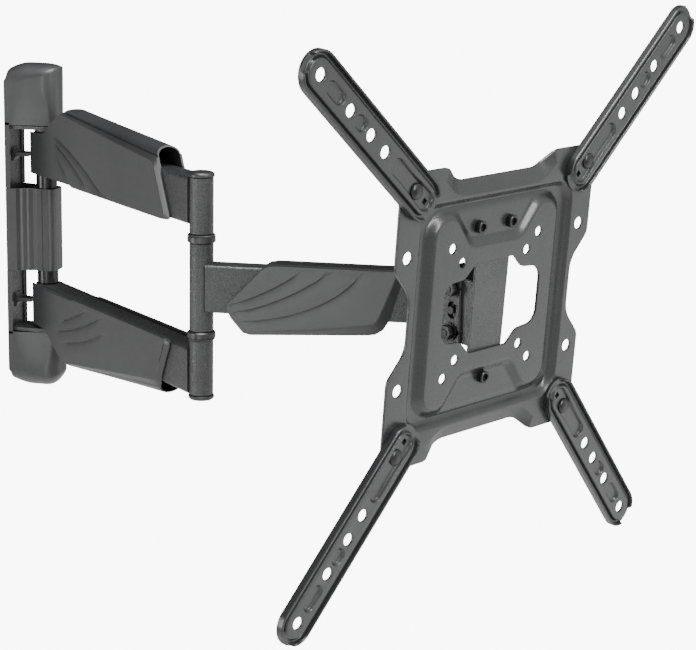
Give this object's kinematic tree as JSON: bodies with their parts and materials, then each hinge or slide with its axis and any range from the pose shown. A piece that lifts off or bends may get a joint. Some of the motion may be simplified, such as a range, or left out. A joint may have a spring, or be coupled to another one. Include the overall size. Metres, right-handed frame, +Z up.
{
  "type": "full motion television wall mount",
  "caption": "Full-motion TV wall mount: cantilever double arm and forearm on a narrow wall plate, carrying a tilting plate with swing-out extension arms.",
  "frame": {"origin": "the middle of the wall plate's flat back face, which lies on the wall", "axes": "+Z up, +Y out of the wall plate's back into the wall, so the mount reaches out towards -Y, and +X to the right along the wall for someone facing the wall"},
  "size_m": [0.4308, 0.5974, 0.4414],
  "materials": {
    "powder_coated_steel": "fine textured satin black powder coat",
    "pressed_steel": "satin black powder coat",
    "satin_plastic": "satin moulded black plastic",
    "black_steel": "black oxide",
    "nylon": "moulded black nylon",
    "zinc_steel": "zinc plate"
  },
  "bodies": {
    "wall_bracket": {"wall_plate": "powder_coated_steel", "top_wall_cover": "satin_plastic", "bottom_wall_cover": "satin_plastic", "middle_cable_cover": "satin_plastic", "wall_pivot_pin": "zinc_steel", "wall_pivot_nut": "zinc_steel", "wall_pivot_washer_top": "nylon", "wall_pivot_washer_bottom": "nylon"},
    "main_arm": {"upper_arm": "powder_coated_steel", "lower_arm": "powder_coated_steel", "upper_arm_cover": "satin_plastic", "lower_arm_cover": "satin_plastic", "wall_pivot_tube": "black_steel", "column_pin": "zinc_steel", "column_top_cap": "nylon", "column_bottom_cap": "nylon", "upper_column_ring": "nylon", "lower_column_ring": "nylon"},
    "forearm": {"forearm": "powder_coated_steel", "forearm_cover": "satin_plastic", "swivel_washer_top": "nylon", "swivel_washer_bottom": "nylon"},
    "head": {"swivel_bracket": "powder_coated_steel", "swivel_bolt": "black_steel", "swivel_nut": "black_steel"},
    "tilt_carrier": {"tilt_carrier": "powder_coated_steel", "tilt_guide_bolt_upper": "black_steel", "tilt_guide_washer_upper": "black_steel", "tilt_guide_nut_upper": "black_steel", "tilt_guide_bolt_lower": "black_steel", "tilt_guide_washer_lower": "black_steel", "tilt_guide_nut_lower": "black_steel"},
    "tilt_knob": {"tilt_knob": "nylon", "tilt_knob_bolt": "black_steel", "tilt_knob_washer": "black_steel"},
    "screen_plate": {"screen_plate": "pressed_steel", "level_screw_top_left": "black_steel", "level_nut_top_left": "black_steel", "level_screw_top_right": "black_steel", "level_nut_top_right": "black_steel", "level_screw_bottom": "black_steel", "level_nut_bottom": "black_steel", "arm_bolt_top_left": "black_steel", "arm_nut_top_left": "black_steel", "arm_bolt_top_right": "black_steel", "arm_nut_top_right": "black_steel", "arm_bolt_bottom_left": "black_steel", "arm_nut_bottom_left": "black_steel", "arm_bolt_bottom_right": "black_steel", "arm_nut_bottom_right": "black_steel"},
    "extension_arm_top_left": {"extension_arm_top_left": "pressed_steel"},
    "extension_arm_top_right": {"extension_arm_top_right": "pressed_steel"},
    "extension_arm_bottom_left": {"extension_arm_bottom_left": "pressed_steel"},
    "extension_arm_bottom_right": {"extension_arm_bottom_right": "pressed_steel"}
  },
  "joints": [
    {"name": "wall_swing", "type": "hinge", "parent": "wall_bracket", "child": "main_arm", "pos_m": [0, -0.03225, 0], "axis": [0, 0, 1], "range_deg": [-47, 133]},
    {"name": "elbow", "type": "hinge", "parent": "main_arm", "child": "forearm", "pos_m": [-0.19369, -0.23995, 0], "axis": [0, 0, -1], "range_deg": [-102, 173]},
    {"name": "head_swivel", "type": "hinge", "parent": "forearm", "child": "head", "pos_m": [-0.17756, -0.42425, 0], "axis": [0, 0, 1], "range_deg": [-26, 94]},
    {"name": "tilt", "type": "hinge", "parent": "head", "child": "tilt_carrier", "pos_m": [-0.19453, -0.45486, 0], "axis": [0.8746, -0.4848, 0], "range_deg": [-9.5, 7.5]},
    {"name": "tilt_knob_turn", "type": "hinge", "parent": "tilt_carrier", "child": "tilt_knob", "pos_m": [-0.19453, -0.45486, 0], "axis": [0.8746, -0.4848, 0], "range_deg": [-180, 180]},
    {"name": "level", "type": "hinge", "parent": "tilt_carrier", "child": "screen_plate", "pos_m": [-0.20443, -0.47271, 0.00441], "axis": [-0.4833, -0.8719, -0.0785], "range_deg": [-3.6, 2.4]},
    {"name": "extension_top_left", "type": "hinge", "parent": "screen_plate", "child": "extension_arm_top_left", "pos_m": [-0.29656, -0.43052, 0.10305], "axis": [-0.4833, -0.8719, -0.0785], "range_deg": [-49.4, 40.2]},
    {"name": "extension_top_right", "type": "hinge", "parent": "screen_plate", "child": "extension_arm_top_right", "pos_m": [-0.12173, -0.52762, 0.10514], "axis": [-0.4833, -0.8719, -0.0785], "range_deg": [-43.8, 46.2]},
    {"name": "extension_bottom_left", "type": "hinge", "parent": "screen_plate", "child": "extension_arm_bottom_left", "pos_m": [-0.28712, -0.41781, -0.09632], "axis": [-0.4833, -0.8719, -0.0785], "range_deg": [-48.3, 41.7]},
    {"name": "extension_bottom_right", "type": "hinge", "parent": "screen_plate", "child": "extension_arm_bottom_right", "pos_m": [-0.11229, -0.51491, -0.09423], "axis": [-0.4833, -0.8719, -0.0785], "range_deg": [-40.8, 49.2]}
  ]
}
